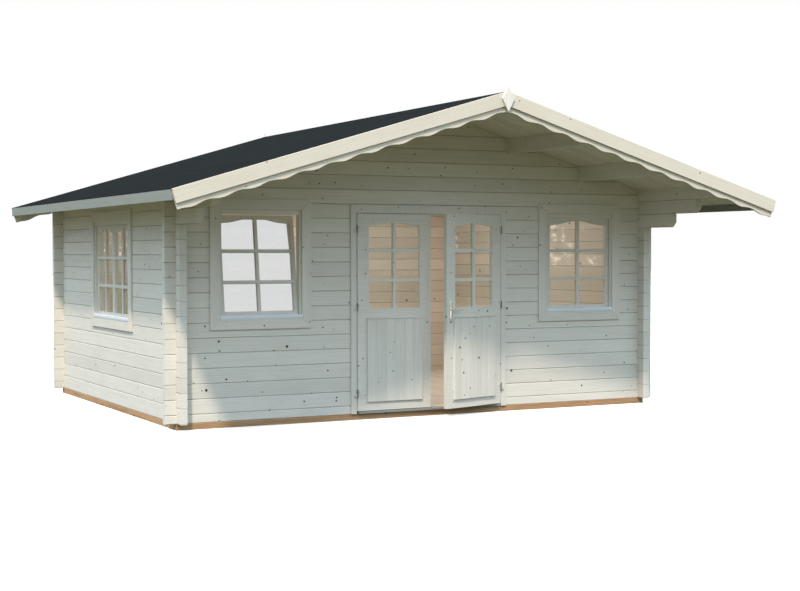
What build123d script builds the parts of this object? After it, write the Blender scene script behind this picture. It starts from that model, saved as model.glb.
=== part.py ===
# Garden cabin of interlocking logs, with a low gable roof over a deep front porch.
# Millimetres, +Z up. The front faces -Y and the ridge runs front to back.
# The origin is the middle of the wall plan, on the underside of the foundation.

import os
from math import ceil, cos, pi, radians, sin, sqrt, tan

from build123d import *

os.makedirs("parts", exist_ok=True)

# Fits between pieces
seat = 0.3
running_gap = 5
pin_gap = 0.08

# Logs and walls
wall_width = 5080
wall_depth = 3950
log_thickness = 70
log_height = 135
log_groove = 6
log_end = 100
first_log_rise = 10
top_log_height = 104.7

# Foundation and floor
foundation_height = 56
beam_width = 70
cross_joist_count = 7
floor_thickness = 20

# Roof
roof_pitch = 16.5
roof_half_width = 3045
front_overhang = 1434
back_overhang = 220
felt_thickness = 3
roof_board = 19
purlin_width = 58
purlin_depth = 140
purlin_offsets = (900, 1750)
eave_fascia_height = 90
eave_fascia_thickness = 18
bargeboard_width = 120
bargeboard_thickness = 20
scallop_board_thickness = 18
scallop_middle = 169
scallop_swing = 10
scallop_pitch = 277.7
scallop_points = 8
finial_height = 232
finial_width = 127
finial_thickness = 18
finial_rise = 53
finial_hollow = 7

# Side-wall logs that reach forward in steps under the porch roof
lower_step_reach = 546
upper_step_reach = 934
step_chamfer = 50

# Front and side windows
window_offset = 1733
window_casing_width = 985
window_casing_bottom = 878
window_casing_height = 1176
side_casing_width = 1400
casing_board = 95
casing_thickness = 20
inner_casing_thickness = 18
casing_lap = 20
window_jamb = 40
window_head = 63
sill_height = 36
sill_fall = 6
sill_projection = 4
sash_gap = 3
sash_thickness = 40
sash_setback = 20
sash_stile = 37
sash_bottom_rail = 42
sash_head_rail = 26
sash_tilt = 7.5
glass_thickness = 4
bar_width = 30
ogee_rise = 43
lower_bar = 267
upper_bar = 551

# Double door, a little to the right of the wall's middle
door_offset = 8
leaf_width = 780
leaf_bottom = 84
leaf_height = 1851
leaf_thickness = 40
leaf_proud = 25
leaf_stile = 120
leaf_glass_bottom = 1044
leaf_head_rail = 81
leaf_ogee_rise = 30
leaf_lower_bar = 265
leaf_upper_bar = 545
panel_margin = 95
panel_bottom = 168
panel_top = 960
panel_thickness = 18
ledge_height = 14
ledge_projection = 8
door_jamb = 40
door_stop = 15
door_casing_board = 58
threshold_height = 22
threshold_projection = 30
ajar_angle = 18
hinge_reach = 8
hinge_radius = 7
hinge_pin_radius = 4
hinge_length = 75
hinge_plate = 32
hinge_plate_thickness = 3
hinge_inset_low = 166
hinge_inset_high = 145
hinge_middle_rise = 50.5
knuckle_gap = 1
barrel_sides = 12

# Handle of the right leaf
plate_width = 40
plate_height = 211
plate_thickness = 3
plate_drop = 129
lever_height = 1028
lever_length = 125
lever_radius = 8
lever_stand = 45
spindle_radius = 5
key_drop = 86
keyhole_height = 18
keyhole_width = 7
plate_chamfer = 8

# Places worked out from the sizes above
wall_bottom = foundation_height
front_face = -wall_depth / 2
back_face = wall_depth / 2
half_width = wall_width / 2
log_middle = log_thickness / 2
roof_front = front_face - front_overhang
roof_back = back_face + back_overhang
roof_under = felt_thickness + roof_board
slope = radians(roof_pitch)
reach = 2 * (wall_width + wall_depth)

# Window and door openings, seen from outside
window_frame_width = window_casing_width - 2 * (casing_board - casing_lap)
side_frame_width = side_casing_width - 2 * (casing_board - casing_lap)
window_frame_height = window_casing_height - 2 * (casing_board - casing_lap)
window_frame_bottom = window_casing_bottom + casing_board - casing_lap
side_window_drop = log_height / 2
door_frame_half = leaf_width + 1.5 * running_gap + door_jamb
door_frame_top = leaf_bottom + leaf_height + running_gap + door_jamb

# Courses: the corners go one course above the log that closes the door and window openings
first_joint = wall_bottom + first_log_rise + log_height / 2
opening_top = max(door_frame_top, window_frame_bottom + window_frame_height) + log_groove
corner_course = ceil((opening_top - first_joint) / log_height) + 1
side_course_count = corner_course + 1
course_count = side_course_count + ceil(half_width * tan(slope) / log_height)

# Log joints: the side walls lie half a course above the front and back walls
front_joints = [wall_bottom + first_log_rise + log_height * (i + 0.5) for i in range(course_count)]
side_joints = [wall_bottom + first_log_rise + log_height * (i + 1) for i in range(side_course_count)]
front_courses = list(zip([wall_bottom] + front_joints, front_joints))
side_courses = list(zip([wall_bottom] + side_joints, side_joints))

# The roof bears on the outer edge of the top side logs
eave_bearing = side_joints[corner_course - 1] + top_log_height
ridge_top = eave_bearing + half_width * tan(slope) + roof_under / cos(slope)


def roof_height(x, below=0):
    """Height of the roof at x, on a plane that lies `below` under the felt."""
    return ridge_top - abs(x) * tan(slope) - below / cos(slope)


def log_sections(courses, across):
    """Sections of a stack of logs, in the sketch of the block that calls it."""
    for low, high in courses:
        with Locations((across, (low + high - seat) / 2)):
            chamfer(Rectangle(log_thickness, high - low - seat).vertices(), log_groove)


def cut_above_roof(clearance=seat):
    """Take away what stands above the underside of the roof boards."""
    under = roof_under + clearance
    with BuildSketch(Plane.XZ) as above:
        with BuildLine():
            Polyline(
                (-reach, roof_height(reach, under)), (0, roof_height(0, under)),
                (reach, roof_height(reach, under)), (reach, 2 * ridge_top),
                (-reach, 2 * ridge_top), close=True,
            )
        make_face()
    extrude(above.sketch, amount=reach, both=True, mode=Mode.SUBTRACT)


def purlin_section(x, clearance=0):
    """Outline of the purlin at x, its top cut to the slope of the roof."""
    left, right = x - purlin_width / 2 - clearance, x + purlin_width / 2 + clearance
    bottom = roof_height(x, roof_under) - purlin_depth - clearance
    top = [(left, roof_height(left, roof_under + seat)), (right, roof_height(right, roof_under + seat))]
    if left < 0 < right:
        top.insert(1, (0, roof_height(0, roof_under + seat)))
    with BuildLine() as outline:
        Polyline((left, bottom), *top, (right, bottom), close=True)
    make_face(outline.edges())


def ogee(width, side, rise):
    """Closed outline whose head sweeps up from both sides to the middle."""
    half, run, step = width / 2, width / 4, rise / 2
    radius = (run**2 + step**2) / (2 * step)
    sag = radius - sqrt(radius**2 - (run / 2) ** 2)
    Polyline((-half, side), (-half, 0), (half, 0), (half, side))
    ThreePointArc((half, side), (half - run / 2, side + sag), (half - run, side + step))
    ThreePointArc((half - run, side + step), (run / 2, side + rise - sag), (0, side + rise))
    ThreePointArc((0, side + rise), (-run / 2, side + rise - sag), (run - half, side + step))
    ThreePointArc((run - half, side + step), (run / 2 - half, side + sag), (-half, side))


def light_opening(width, side, rise, clearance=0):
    """Face of a sash's light, seated on the origin and the same on both sides."""
    with BuildLine() as outline:
        ogee(width - 2 * clearance, side - clearance, rise)
    make_face(outline.edges())


# Foundation: side beams from front to back, with cross joists between them
with BuildPart() as foundation_side_beams:
    with Locations(*[(side * (half_width - beam_width / 2), 0, foundation_height / 2) for side in (-1, 1)]):
        Box(beam_width, wall_depth, foundation_height)
foundation_side_beams.part.label = "foundation_side_beams"
export_step(foundation_side_beams.part, "parts/foundation_side_beams.step")

with BuildPart() as foundation_cross_joists:
    joist_pitch = (wall_depth - beam_width) / (cross_joist_count - 1)
    with BuildSketch():
        with GridLocations(0, joist_pitch, 1, cross_joist_count):
            Rectangle(wall_width - 2 * beam_width, beam_width)
    extrude(amount=foundation_height)
foundation_cross_joists.part.label = "foundation_cross_joists"
export_step(foundation_cross_joists.part, "parts/foundation_cross_joists.step")

# Floor inside the walls
with BuildPart() as floor_boards:
    with BuildSketch(Plane.XY.offset(foundation_height)):
        Rectangle(wall_width - 2 * (log_thickness + seat), wall_depth - 2 * (log_thickness + seat))
    extrude(amount=floor_thickness)
floor_boards.part.label = "floor_boards"
export_step(floor_boards.part, "parts/floor_boards.step")

# Saddle notches: the underside of each log is cut down over the log that it crosses
notch_width = log_thickness + 2 * seat
front_start = -half_width - log_end
inner_start = log_thickness + seat - half_width


def saddle_notches(courses, tops, spots, along_x, along_y):
    """Cut the underside of each course up to the tops of the logs that cross it."""
    for (low, high), top in zip(courses, tops):
        with Locations(*[(x, y, (low - seat + top) / 2) for x, y in spots]):
            Box(along_x, along_y, top - low + seat, mode=Mode.SUBTRACT)


def cross_wall_logs(y, first, last):
    """Courses of the front or back wall; those above the corners stop at the side walls."""
    for courses, start in (
        (front_courses[first:min(last, side_course_count)], front_start),
        (front_courses[max(first, side_course_count):last], inner_start),
    ):
        if courses:
            with BuildSketch(Plane.YZ.offset(start)) as stack:
                log_sections(courses, y)
            extrude(stack.sketch, amount=-2 * start)
    spots = [(x, y) for x in (log_middle - half_width, half_width - log_middle)]
    saddle_notches(front_courses[1:side_course_count], side_joints, spots, notch_width, 2 * log_thickness)


# Front wall beside the doorway, up to the first joint above the door frame
window_cut = window_frame_height + 2 * seat

for side, name in ((-1, "front_wall_left"), (1, "front_wall_right")):
    with BuildPart() as front_wall:
        cross_wall_logs(front_face + log_middle, 0, corner_course)
        with Locations((door_offset - side * (reach / 2 - door_frame_half - seat), front_face, 0)):
            Box(reach, 4 * log_thickness, 2 * ridge_top, mode=Mode.SUBTRACT)
        with Locations((side * window_offset, front_face, window_frame_bottom + window_frame_height / 2)):
            Box(window_frame_width + 2 * seat, 4 * log_thickness, window_cut, mode=Mode.SUBTRACT)
    front_wall.part.label = name
    export_step(front_wall.part, f"parts/{name}.step")

# Front gable: what is over the door, then the logs under the roof
with BuildPart() as front_gable:
    low_edge = door_frame_top + seat
    over_door = [
        (max(low, low_edge), high) for low, high in front_courses[:corner_course] if high > low_edge
    ]
    with BuildSketch(Plane.YZ.offset(door_offset - door_frame_half)):
        log_sections(over_door, front_face + log_middle)
    extrude(amount=2 * door_frame_half)
    cross_wall_logs(front_face + log_middle, corner_course, course_count)
    cut_above_roof()
    with BuildSketch(Plane.XZ.offset(-front_face + log_thickness)):
        for offset_x in (-purlin_offsets[1], -purlin_offsets[0], 0, *purlin_offsets):
            purlin_section(offset_x, seat)
    extrude(amount=-3 * log_thickness, mode=Mode.SUBTRACT)
front_gable.part.label = "front_gable"
export_step(front_gable.part, "parts/front_gable.step")

# Back wall and back gable, both plain
with BuildPart() as back_wall:
    cross_wall_logs(back_face - log_middle, 0, corner_course)
back_wall.part.label = "back_wall"
export_step(back_wall.part, "parts/back_wall.step")

with BuildPart() as back_gable:
    cross_wall_logs(back_face - log_middle, corner_course, course_count)
    cut_above_roof()
    with BuildSketch(Plane.XZ.offset(-back_face - log_thickness)):
        for offset_x in (-purlin_offsets[1], -purlin_offsets[0], 0, *purlin_offsets):
            purlin_section(offset_x, seat)
    extrude(amount=3 * log_thickness, mode=Mode.SUBTRACT)
back_gable.part.label = "back_gable"
export_step(back_gable.part, "parts/back_gable.step")


# Purlins, top side logs and eave fascias run from one scalloped board to the other
inner_start_y = -roof_front - bargeboard_thickness - scallop_board_thickness - seat
inner_length = roof_back - roof_front - 2 * (bargeboard_thickness + scallop_board_thickness + seat)


def side_wall_logs(x):
    """Logs of a side wall: the upper ones reach forward in steps with a cut lower corner."""
    with BuildSketch(Plane.XZ.offset(-front_face + log_end)) as plain:
        log_sections(side_courses[:corner_course - 2], x)
    extrude(plain.sketch, amount=-(wall_depth + 2 * log_end))
    for course, step_reach in zip(side_courses[corner_course - 2:], (lower_step_reach, upper_step_reach)):
        with BuildSketch(Plane.XZ.offset(-front_face + step_reach)) as step:
            log_sections([course], x)
        extrude(step.sketch, amount=-(wall_depth + step_reach + log_end))
        tip, foot = front_face - step_reach, course[0]
        with BuildSketch(Plane.YZ.offset(x)) as corner:
            with BuildLine() as cut:
                Polyline((tip, foot), (tip + step_chamfer, foot), (tip, foot + step_chamfer), close=True)
            make_face(cut.edges())
        extrude(corner.sketch, amount=log_thickness, both=True, mode=Mode.SUBTRACT)
    with BuildSketch(Plane.XZ.offset(inner_start_y)) as plate:
        log_sections([side_courses[corner_course]], x)
    extrude(plate.sketch, amount=-inner_length)
    spots = [(x, y) for y in (front_face + log_middle, back_face - log_middle)]
    saddle_notches(side_courses, front_joints, spots, 2 * log_thickness, notch_width)
    cut_above_roof()


with BuildPart() as left_wall:
    side_wall_logs(log_middle - half_width)
    with Locations((-half_width, 0, window_frame_bottom - side_window_drop + window_frame_height / 2)):
        Box(4 * log_thickness, side_frame_width + 2 * seat, window_cut, mode=Mode.SUBTRACT)
left_wall.part.label = "left_wall"
export_step(left_wall.part, "parts/left_wall.step")

with BuildPart() as right_wall:
    side_wall_logs(half_width - log_middle)
right_wall.part.label = "right_wall"
export_step(right_wall.part, "parts/right_wall.step")

# Purlins, let into both gables
with BuildPart() as purlins:
    with BuildSketch(Plane.XZ.offset(inner_start_y)):
        for offset_x in (-purlin_offsets[1], -purlin_offsets[0], 0, *purlin_offsets):
            purlin_section(offset_x)
    extrude(amount=-inner_length)
purlins.part.label = "purlins"
export_step(purlins.part, "parts/purlins.step")


def roof_strip(side, near, far, top, bottom):
    """Strip that follows one slope, from x = near to x = far, between two depths."""
    with BuildLine() as outline:
        Polyline(
            (side * near, roof_height(near, top)), (side * far, roof_height(far, top)),
            (side * far, roof_height(far, bottom)), (side * near, roof_height(near, bottom)),
            close=True,
        )
    make_face(outline.edges())


# Roof boards and felt, one sheet to each slope
board_edge = roof_half_width - eave_fascia_thickness - seat
roof_start = bargeboard_thickness + seat
roof_length = roof_back - roof_front - 2 * roof_start

for side, name in ((-1, "roof_boards_left"), (1, "roof_boards_right")):
    with BuildPart() as roof_boards:
        with BuildSketch(Plane.XZ.offset(-roof_front - roof_start)):
            roof_strip(side, 0, board_edge, felt_thickness, roof_under)
        extrude(amount=-roof_length)
    roof_boards.part.label = name
    export_step(roof_boards.part, f"parts/{name}.step")

for side, name in ((-1, "roof_felt_left"), (1, "roof_felt_right")):
    with BuildPart() as roof_felt:
        with BuildSketch(Plane.XZ.offset(-roof_front - roof_start)):
            roof_strip(side, 0, roof_half_width, 0, felt_thickness)
        extrude(amount=-roof_length)
    roof_felt.part.label = name
    export_step(roof_felt.part, f"parts/{name}.step")

# Eave fascias, under the edge of the felt, from one scalloped board to the other
fascia_bottom = roof_height(roof_half_width) - eave_fascia_height

with BuildPart() as eave_fascias:
    with BuildSketch(Plane.XZ.offset(inner_start_y)):
        for side in (-1, 1):
            inner = roof_half_width - eave_fascia_thickness
            with BuildLine():
                Polyline(
                    (side * inner, fascia_bottom), (side * roof_half_width, fascia_bottom),
                    (side * roof_half_width, roof_height(roof_half_width, felt_thickness)),
                    (side * inner, roof_height(inner, felt_thickness)), close=True,
                )
            make_face()
    extrude(amount=-inner_length)
eave_fascias.part.label = "eave_fascias"
export_step(eave_fascias.part, "parts/eave_fascias.step")


def down_slope(side, along, below):
    """Point of the gable's plane, `along` the slope from the apex and `below` its top line."""
    x = along * cos(slope) - below * sin(slope)
    return (side * x, ridge_top - along * sin(slope) - below * cos(slope))


board_run = roof_half_width / cos(slope)


def bargeboard_outline(side):
    """Plain board along the slope, plumb at the apex and cut square at the eave."""
    with BuildLine() as outline:
        Polyline(
            (0, ridge_top), down_slope(side, board_run, 0),
            down_slope(side, board_run, bargeboard_width), (0, roof_height(0, bargeboard_width)),
            close=True,
        )
    make_face(outline.edges())


def scalloped_outline(side):
    """Board behind the bargeboard, whose lower edge is a row of even waves."""
    top = roof_under + seat
    first = scallop_pitch / 4
    points = scallop_points * int((board_run - first) / scallop_pitch)
    wave = [
        (first + i * scallop_pitch / scallop_points,
         scallop_middle - scallop_swing * sin(2 * pi * i / scallop_points))
        for i in range(points + 1)
    ]
    with BuildLine() as outline:
        Polyline(
            (0, roof_height(0, top)), (0, roof_height(0, scallop_middle)),
            *[down_slope(side, along, below) for along, below in wave],
            down_slope(side, board_run, scallop_middle), down_slope(side, board_run, top), close=True,
        )
    make_face(outline.edges())


# Bargeboards and the scalloped boards behind them, at the front and the back
for side, name in ((-1, "left_bargeboards"), (1, "right_bargeboards")):
    with BuildPart() as bargeboards:
        with BuildSketch(Plane.XZ.offset(-roof_front)):
            bargeboard_outline(side)
        extrude(amount=-bargeboard_thickness)
        with BuildSketch(Plane.XZ.offset(-roof_back)):
            bargeboard_outline(side)
        extrude(amount=bargeboard_thickness)
    bargeboards.part.label = name
    export_step(bargeboards.part, f"parts/{name}.step")

for side, name in ((-1, "left_scalloped_boards"), (1, "right_scalloped_boards")):
    with BuildPart() as scalloped_boards:
        with BuildSketch(Plane.XZ.offset(-roof_front - bargeboard_thickness)):
            scalloped_outline(side)
        extrude(amount=-scallop_board_thickness)
        with BuildSketch(Plane.XZ.offset(-roof_back + bargeboard_thickness)):
            scalloped_outline(side)
        extrude(amount=scallop_board_thickness)
    scalloped_boards.part.label = name
    export_step(scalloped_boards.part, f"parts/{name}.step")

# Finials: a tall kite with hollow shoulders at each apex
with BuildPart() as finials:
    for plane_offset, thickness in ((-roof_front, finial_thickness), (-roof_back, -finial_thickness)):
        with BuildSketch(Plane.XZ.offset(plane_offset)):
            with BuildLine():
                middle = ridge_top + finial_rise - finial_height / 2
                half_w, half_h = finial_width / 2, finial_height / 2
                shoulder = half_w / 2 - finial_hollow
                Polyline(
                    (0, middle + half_h), (shoulder, middle + half_h / 2), (half_w, middle),
                    (0, middle - half_h), (-half_w, middle), (-shoulder, middle + half_h / 2),
                    close=True,
                )
            make_face()
        extrude(amount=thickness)
finials.part.label = "finials"
export_step(finials.part, "parts/finials.step")


# Window frames, from the outer to the inner face of the logs
def window_planes(depth):
    """Planes on the outer faces of the three windows, `depth` behind the wall's face."""
    front = Plane((0, front_face + depth, window_frame_bottom), x_dir=(1, 0, 0), z_dir=(0, -1, 0))
    side_foot = (-half_width + depth, 0, window_frame_bottom - side_window_drop)
    return (
        (front.shift_origin(front.from_local_coords((-window_offset, 0, 0))), window_frame_width),
        (front.shift_origin(front.from_local_coords((window_offset, 0, 0))), window_frame_width),
        (Plane(side_foot, x_dir=(0, -1, 0), z_dir=(-1, 0, 0)), side_frame_width),
    )


def board_ring(plane, width, height, sides, head, foot, depth):
    """Four boards: uprights at full height, with head and foot between them."""
    inner = width - 2 * (sides + seat)
    with BuildSketch(plane) as ring:
        with Locations(*[(s * (width - sides) / 2, height / 2) for s in (-1, 1)]):
            Rectangle(sides, height)
        with Locations((0, height - head / 2)):
            Rectangle(inner, head)
        with Locations((0, foot / 2)):
            Rectangle(inner, foot)
    extrude(ring.sketch, amount=depth)


def mitred_ring(plane, width, height, board, depth, bottom):
    """Four boards of one width, cut at 45 degrees where they meet."""
    middle = bottom + height / 2
    with BuildSketch(plane) as ring:
        with Locations((0, middle)):
            Rectangle(width, height)
            Rectangle(width - 2 * board, height - 2 * board, mode=Mode.SUBTRACT)
        for right, up in ((-1, -1), (-1, 1), (1, -1), (1, 1)):
            with Locations((right * (width - board) / 2, middle + up * (height - board) / 2)):
                Rectangle(2 * board, seat, rotation=45 * right * up, mode=Mode.SUBTRACT)
    extrude(ring.sketch, amount=depth)


with BuildPart() as window_frames:
    for plane, width in window_planes(log_thickness):
        board_ring(plane, width, window_frame_height, window_jamb, window_head, window_jamb, log_thickness)
window_frames.part.label = "window_frames"
export_step(window_frames.part, "parts/window_frames.step")

with BuildPart() as window_casings:
    for plane, width in window_planes(0):
        ring = width + 2 * (casing_board - casing_lap)
        mitred_ring(plane, ring, window_casing_height, casing_board, casing_thickness,
                    casing_lap - casing_board)
window_casings.part.label = "window_casings"
export_step(window_casings.part, "parts/window_casings.step")

with BuildPart() as window_inner_casings:
    for plane, width in window_planes(log_thickness):
        ring = width + 2 * (casing_board - casing_lap)
        mitred_ring(plane, ring, window_casing_height, casing_board, -inner_casing_thickness,
                    casing_lap - casing_board)
window_inner_casings.part.label = "window_inner_casings"
export_step(window_inner_casings.part, "parts/window_inner_casings.step")

# Sills: a weathered board over the frame's foot, between the outer casings
with BuildPart() as window_sills:
    for plane, width in window_planes(0):
        front, top = casing_thickness + sill_projection, casing_lap + seat + sill_height
        middle = Plane(plane.origin, x_dir=plane.z_dir, z_dir=-plane.x_dir)
        with BuildSketch(middle):
            with BuildLine():
                Polyline(
                    (seat, casing_lap + seat), (front, casing_lap + seat), (front, top - sill_fall),
                    (seat, top), close=True,
                )
            make_face()
        extrude(amount=width / 2 - casing_lap - seat, both=True)
        with BuildSketch(middle):
            with BuildLine():
                Polyline(
                    (seat, window_jamb + seat), (seat, top), (seat - sash_setback, top),
                    (seat - sash_setback, window_jamb + seat), close=True,
                )
            make_face()
        extrude(amount=width / 2 - window_jamb - seat, both=True)
window_sills.part.label = "window_sills"
export_step(window_sills.part, "parts/window_sills.step")

# Sashes: a stile at each side, an ogee head, and bars on both faces of the glass
sash_height = window_frame_height - window_jamb - window_head - sash_gap - seat
sash_base = window_jamb + seat
light_side = sash_height - sash_bottom_rail - sash_head_rail - ogee_rise
front_sash_width = window_frame_width - 2 * (window_jamb + sash_gap)
side_sash_width = (side_frame_width - 2 * window_jamb - 3 * sash_gap) / 2


def sash_solid(plane, width, height, thickness, stile, rail, side, rise, bars):
    """Sash whose lower middle is the plane's origin and whose outer face looks along its normal."""
    light = width - 2 * stile
    with BuildSketch(mode=Mode.PRIVATE) as opening:
        light_opening(light, side, rise)
    with BuildSketch(plane) as frame:
        with Locations((0, height / 2)):
            Rectangle(width, height)
        with Locations((0, rail)):
            add(opening.sketch, mode=Mode.SUBTRACT)
    extrude(frame.sketch, amount=-thickness)
    bar_depth = (thickness - glass_thickness) / 2 - seat
    for depth in (0, thickness - bar_depth):
        with BuildSketch(plane.offset(-depth)) as grille:
            with Locations((0, rail + (side + rise) / 2)):
                Rectangle(bar_width, side + rise + bar_width / 2)
            with Locations(*[(0, rail + bar) for bar in bars]):
                Rectangle(light + bar_width / 2, bar_width)
        extrude(grille.sketch, amount=-bar_depth)


def glass_solid(plane, width, thickness, stile, rail, side, rise):
    """Sheet of glass in the light of a sash made on the same plane."""
    with BuildSketch(mode=Mode.PRIVATE) as sheet:
        light_opening(width - 2 * stile, side, rise, seat)
    with BuildSketch(plane.offset(-(thickness - glass_thickness) / 2)) as pane:
        with Locations((0, rail + seat)):
            add(sheet.sketch)
    extrude(pane.sketch, amount=-glass_thickness)


sash_form = (sash_stile, sash_bottom_rail, light_side, ogee_rise)
window_bars = (lower_bar, upper_bar)
front_left_plane, front_right_plane, side_plane = [plane for plane, width in window_planes(sash_setback)]
sash_plane_right = front_right_plane.shift_origin(front_right_plane.from_local_coords((0, sash_base, 0)))
inner_face = front_left_plane.offset(-sash_thickness)
inner_foot = inner_face.shift_origin(inner_face.from_local_coords((0, sash_base, 0)))
sash_plane_left = inner_foot.rotated((-sash_tilt, 0, 0)).offset(sash_thickness)
side_shift = (side_sash_width + sash_gap) / 2
side_sash_planes = [
    side_plane.shift_origin(side_plane.from_local_coords((s * side_shift, sash_base, 0))) for s in (-1, 1)
]

for name, planes, width in (
    ("front_left_sash", [sash_plane_left], front_sash_width),
    ("front_right_sash", [sash_plane_right], front_sash_width),
    ("side_window_sashes", side_sash_planes, side_sash_width),
):
    with BuildPart() as sash:
        for plane in planes:
            sash_solid(plane, width, sash_height, sash_thickness, *sash_form, window_bars)
    sash.part.label = name
    export_step(sash.part, f"parts/{name}.step")

with BuildPart() as window_glass:
    for plane in (sash_plane_left, sash_plane_right):
        glass_solid(plane, front_sash_width, sash_thickness, *sash_form)
    for plane in side_sash_planes:
        glass_solid(plane, side_sash_width, sash_thickness, *sash_form)
window_glass.part.label = "window_glass"
export_step(window_glass.part, "parts/window_glass.step")

# Door frame, with a stop behind the closed leaves
frame_recess = leaf_width + 1.5 * running_gap
stop_depth = leaf_thickness - leaf_proud + running_gap
recess_top = leaf_bottom + leaf_height + running_gap
door_front = Plane((door_offset, front_face, 0), x_dir=(1, 0, 0), z_dir=(0, -1, 0))


def doorway_frame(depth, thickness, half_outer, half_inner, top_outer, top_inner, foot=0):
    """Two uprights and a head in one piece, open at the foot."""
    base = wall_bottom + foot
    with BuildSketch(door_front.offset(-depth)) as arch:
        with Locations((0, (top_outer + base) / 2)):
            Rectangle(2 * half_outer, top_outer - base)
        with Locations((0, (top_inner + base) / 2)):
            Rectangle(2 * half_inner, top_inner - base, mode=Mode.SUBTRACT)
    extrude(arch.sketch, amount=-thickness)


with BuildPart() as door_frame:
    doorway_frame(0, stop_depth, door_frame_half, frame_recess, door_frame_top, recess_top)
    doorway_frame(stop_depth, log_thickness - stop_depth, door_frame_half, frame_recess - door_stop,
                  door_frame_top, recess_top - door_stop)
door_frame.part.label = "door_frame"
export_step(door_frame.part, "parts/door_frame.step")

with BuildPart() as door_casing:
    doorway_frame(-casing_thickness, casing_thickness, frame_recess + door_casing_board, frame_recess,
                  recess_top + door_casing_board + casing_lap, recess_top)
door_casing.part.label = "door_casing"
export_step(door_casing.part, "parts/door_casing.step")

with BuildPart() as door_inner_casing:
    doorway_frame(log_thickness, inner_casing_thickness, frame_recess + door_casing_board, frame_recess,
                  recess_top + door_casing_board + casing_lap, recess_top, floor_thickness + seat)
door_inner_casing.part.label = "door_inner_casing"
export_step(door_inner_casing.part, "parts/door_inner_casing.step")

with BuildPart() as door_threshold:
    tread_depth = threshold_projection + log_thickness
    tread_y = front_face - threshold_projection + tread_depth / 2
    with Locations((door_offset, tread_y, wall_bottom + threshold_height / 2)):
        Box(2 * (frame_recess - door_stop - seat), tread_depth, threshold_height)
door_threshold.part.label = "door_threshold"
export_step(door_threshold.part, "parts/door_threshold.step")

# Door leaves, modelled closed and then turned about their hinges to the rest pose
hinge_x = leaf_width + running_gap
hinge_y = front_face - leaf_proud - hinge_reach
hinge_heights = (
    leaf_bottom + hinge_inset_low,
    leaf_bottom + leaf_height / 2 + hinge_middle_rise,
    leaf_bottom + leaf_height - hinge_inset_high,
)
leaf_middle = running_gap / 2 + leaf_width / 2
leaf_face = front_face - leaf_proud
leaf_rail = leaf_glass_bottom - leaf_bottom
leaf_light_side = leaf_height - leaf_rail - leaf_head_rail - leaf_ogee_rise
leaf_bars = (leaf_lower_bar, leaf_upper_bar)
leaf_form = (leaf_stile, leaf_rail, leaf_light_side, leaf_ogee_rise)
handle_x = running_gap / 2 + leaf_stile / 2


def leaf_plane(side):
    """Outer face of a closed leaf, at the middle of its lower edge."""
    foot = (door_offset + side * leaf_middle, leaf_face, leaf_bottom)
    return Plane(foot, x_dir=(1, 0, 0), z_dir=(0, -1, 0))


def barrel(side, middle, height, radius, mode=Mode.ADD):
    """Many-sided barrel on the hinge line; a bore keeps clear of a round pin of its radius."""
    with BuildSketch(Plane.XY.offset(middle - height / 2)) as section:
        with Locations((door_offset + side * hinge_x, hinge_y)):
            RegularPolygon(radius, barrel_sides, major_radius=mode == Mode.ADD)
    extrude(section.sketch, amount=height, mode=mode)


def turned(shape, side):
    """The right leaf and what it carries stand ajar; the left leaf is closed."""
    if side < 0:
        return shape
    return shape.rotate(Axis((door_offset + hinge_x, hinge_y, 0), (0, 0, 1)), ajar_angle)


for side, end in ((-1, "left"), (1, "right")):
    with BuildPart() as closed_leaf:
        sash_solid(leaf_plane(side), leaf_width, leaf_height, leaf_thickness, *leaf_form, leaf_bars)
        if side > 0:
            with BuildSketch(door_front.offset(leaf_proud)):
                with Locations((handle_x, lever_height)):
                    RegularPolygon(spindle_radius + pin_gap, barrel_sides, major_radius=False)
            extrude(amount=-leaf_thickness, mode=Mode.SUBTRACT)
    door_leaf = turned(closed_leaf.part, side)
    door_leaf.label = f"door_leaf_{end}"
    export_step(door_leaf, f"parts/door_leaf_{end}.step")

    with BuildPart() as closed_glass:
        glass_solid(leaf_plane(side), leaf_width, leaf_thickness, *leaf_form)
    door_glass = turned(closed_glass.part, side)
    door_glass.label = f"door_glass_{end}"
    export_step(door_glass, f"parts/door_glass_{end}.step")

    # Planted panel with a drip ledge along its top
    with BuildPart() as closed_panel:
        with BuildSketch(door_front.offset(leaf_proud)):
            with Locations((side * leaf_middle, (panel_bottom + panel_top) / 2)):
                Rectangle(leaf_width - 2 * panel_margin, panel_top - panel_bottom)
        extrude(amount=panel_thickness)
        with BuildSketch(door_front.offset(leaf_proud)):
            with Locations((side * leaf_middle, panel_top - ledge_height / 2)):
                Rectangle(leaf_width - 2 * panel_margin, ledge_height)
        extrude(amount=panel_thickness + ledge_projection)
    door_panel = turned(closed_panel.part, side)
    door_panel.label = f"door_panel_{end}"
    export_step(door_panel, f"parts/door_panel_{end}.step")

    # Hinge halves on the leaf: a knuckle with a plate on the leaf's face
    with BuildPart() as closed_knuckles:
        knuckle = hinge_length / 2 - knuckle_gap
        middles = [z + knuckle_gap + knuckle / 2 for z in hinge_heights]
        for middle in middles:
            barrel(side, middle, knuckle, hinge_radius)
        with Locations(*[
            (door_offset + side * (hinge_x - hinge_plate / 2), leaf_face - hinge_plate_thickness / 2, middle)
            for middle in middles
        ]):
            Box(hinge_plate, hinge_plate_thickness, knuckle)
        for middle in middles:
            barrel(side, middle, knuckle, hinge_pin_radius + pin_gap, Mode.SUBTRACT)
    door_knuckles = turned(closed_knuckles.part, side)
    door_knuckles.label = f"hinge_knuckles_{end}"
    export_step(door_knuckles, f"parts/hinge_knuckles_{end}.step")

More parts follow.
